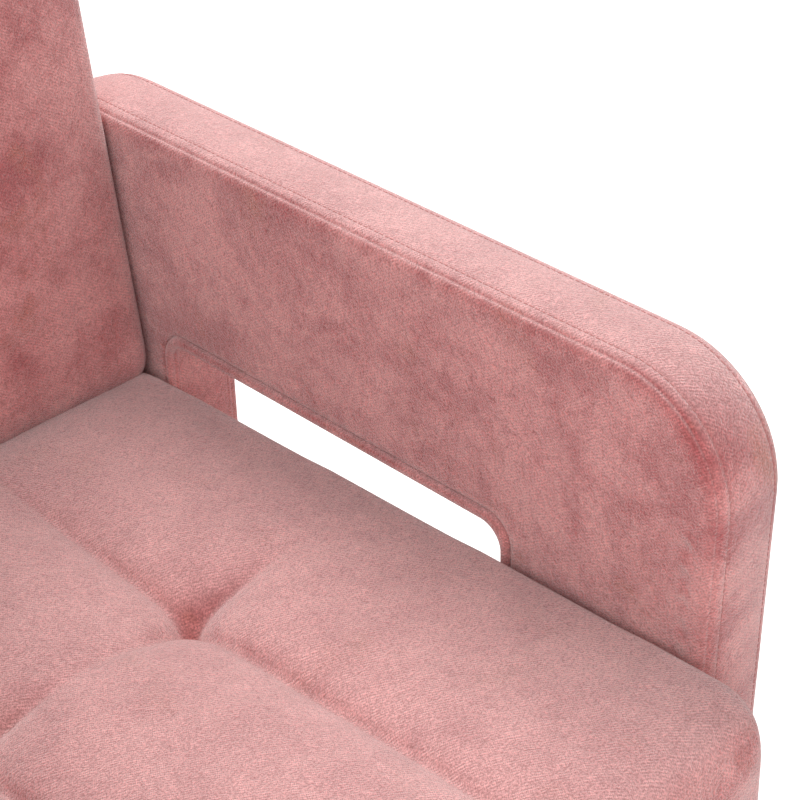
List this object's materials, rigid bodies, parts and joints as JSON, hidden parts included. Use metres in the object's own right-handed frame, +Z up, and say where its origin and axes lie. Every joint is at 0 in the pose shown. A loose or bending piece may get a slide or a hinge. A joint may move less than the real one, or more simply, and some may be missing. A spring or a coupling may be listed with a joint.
{
  "type": "swivel glider chair",
  "caption": "Upholstered high-back swivel glider nursery chair with slab arms, a slot through each arm and a tufted seat, gliding on links over a round floor base.",
  "frame": {"origin": "on the floor, in the middle of the whole chair", "axes": "+Z up, the sitter faces -Y, +X on the sitter's left"},
  "size_m": [0.644, 0.7834, 1.005],
  "materials": {
    "upholstery": "matte",
    "wood": "matte",
    "black_steel": "satin",
    "steel": "satin",
    "zinc": "satin",
    "nylon": "matte",
    "glide_plastic": "matte",
    "rubber": "matte",
    "black_cambric": "matte",
    "webbing": "matte",
    "padding": "matte"
  },
  "bodies": {
    "floor_base": {"base_ring": "black_steel", "base_cross_bars": "black_steel", "base_hub": "black_steel", "hub_retainer": "black_steel", "thrust_ring": "nylon", "floor_glides": "glide_plastic"},
    "turning_frame": {"turning_hub": "steel", "turning_crossmembers": "steel", "turning_side_bar_left": "steel", "turning_side_bar_right": "steel", "link_uprights": "steel", "stop_bumpers": "rubber", "upper_pivot_pins": "zinc", "upper_bushes": "nylon", "upper_clips": "zinc"},
    "link_front_left": {"link_front_left": "steel"},
    "link_front_right": {"link_front_right": "steel"},
    "link_rear_left": {"link_rear_left": "steel"},
    "link_rear_right": {"link_rear_right": "steel"},
    "chair": {"arm_band_left": "upholstery", "arm_band_right": "upholstery", "arm_bolts": "zinc", "arm_front_post_left": "wood", "arm_front_post_right": "wood", "arm_inner_pad_left": "upholstery", "arm_inner_pad_right": "upholstery", "arm_lower_panel_left": "wood", "arm_lower_panel_right": "wood", "arm_outer_pad_left": "upholstery", "arm_outer_pad_right": "upholstery", "arm_rear_post_left": "wood", "arm_rear_post_right": "wood", "arm_top_rail_left": "wood", "arm_top_rail_right": "wood", "back_band": "upholstery", "back_cushion": "upholstery", "back_posts": "wood", "back_rails": "wood", "back_webbing": "webbing", "corner_blocks": "wood", "dust_cover": "black_cambric", "front_border": "upholstery", "glide_rail_left": "steel", "glide_rail_right": "steel", "lower_bushes": "nylon", "lower_clips": "zinc", "lower_pivot_pins": "zinc", "outer_back": "upholstery", "rail_bolts": "zinc", "rail_hangers": "steel", "seat_cushion": "upholstery", "seat_deck": "padding", "seat_rail_front": "wood", "seat_rail_left": "wood", "seat_rail_rear": "wood", "seat_rail_right": "wood", "seat_springs": "zinc", "slot_facing_left": "upholstery", "slot_facing_right": "upholstery", "spring_clips": "zinc"}
  },
  "joints": [
    {"name": "swivel", "type": "hinge", "parent": "floor_base", "child": "turning_frame", "pos_m": [0, 0.00377, 0.05], "axis": [0, 0, 1], "continuous": true},
    {"name": "glide", "type": "hinge", "parent": "turning_frame", "child": "link_front_left", "pos_m": [0.199, -0.12623, 0.213], "axis": [1, 0, 0], "range_deg": [-20, 20]},
    {"name": "chair_level", "type": "hinge", "parent": "link_front_left", "child": "chair", "pos_m": [0.199, -0.12623, 0.073], "axis": [1, 0, 0], "range_deg": [-20, 20]},
    {"name": "front_right_swing", "type": "hinge", "parent": "turning_frame", "child": "link_front_right", "pos_m": [-0.199, -0.12623, 0.213], "axis": [1, 0, 0], "range_deg": [-20, 20]},
    {"name": "rear_left_swing", "type": "hinge", "parent": "turning_frame", "child": "link_rear_left", "pos_m": [0.199, 0.13377, 0.213], "axis": [1, 0, 0], "range_deg": [-20, 20]},
    {"name": "rear_right_swing", "type": "hinge", "parent": "turning_frame", "child": "link_rear_right", "pos_m": [-0.199, 0.13377, 0.213], "axis": [1, 0, 0], "range_deg": [-20, 20]}
  ],
  "couplings": [
    {"joint": "chair_level", "follows": "glide", "ratio": -1},
    {"joint": "front_right_swing", "follows": "glide", "ratio": 1},
    {"joint": "rear_left_swing", "follows": "glide", "ratio": 1},
    {"joint": "rear_right_swing", "follows": "glide", "ratio": 1}
  ]
}
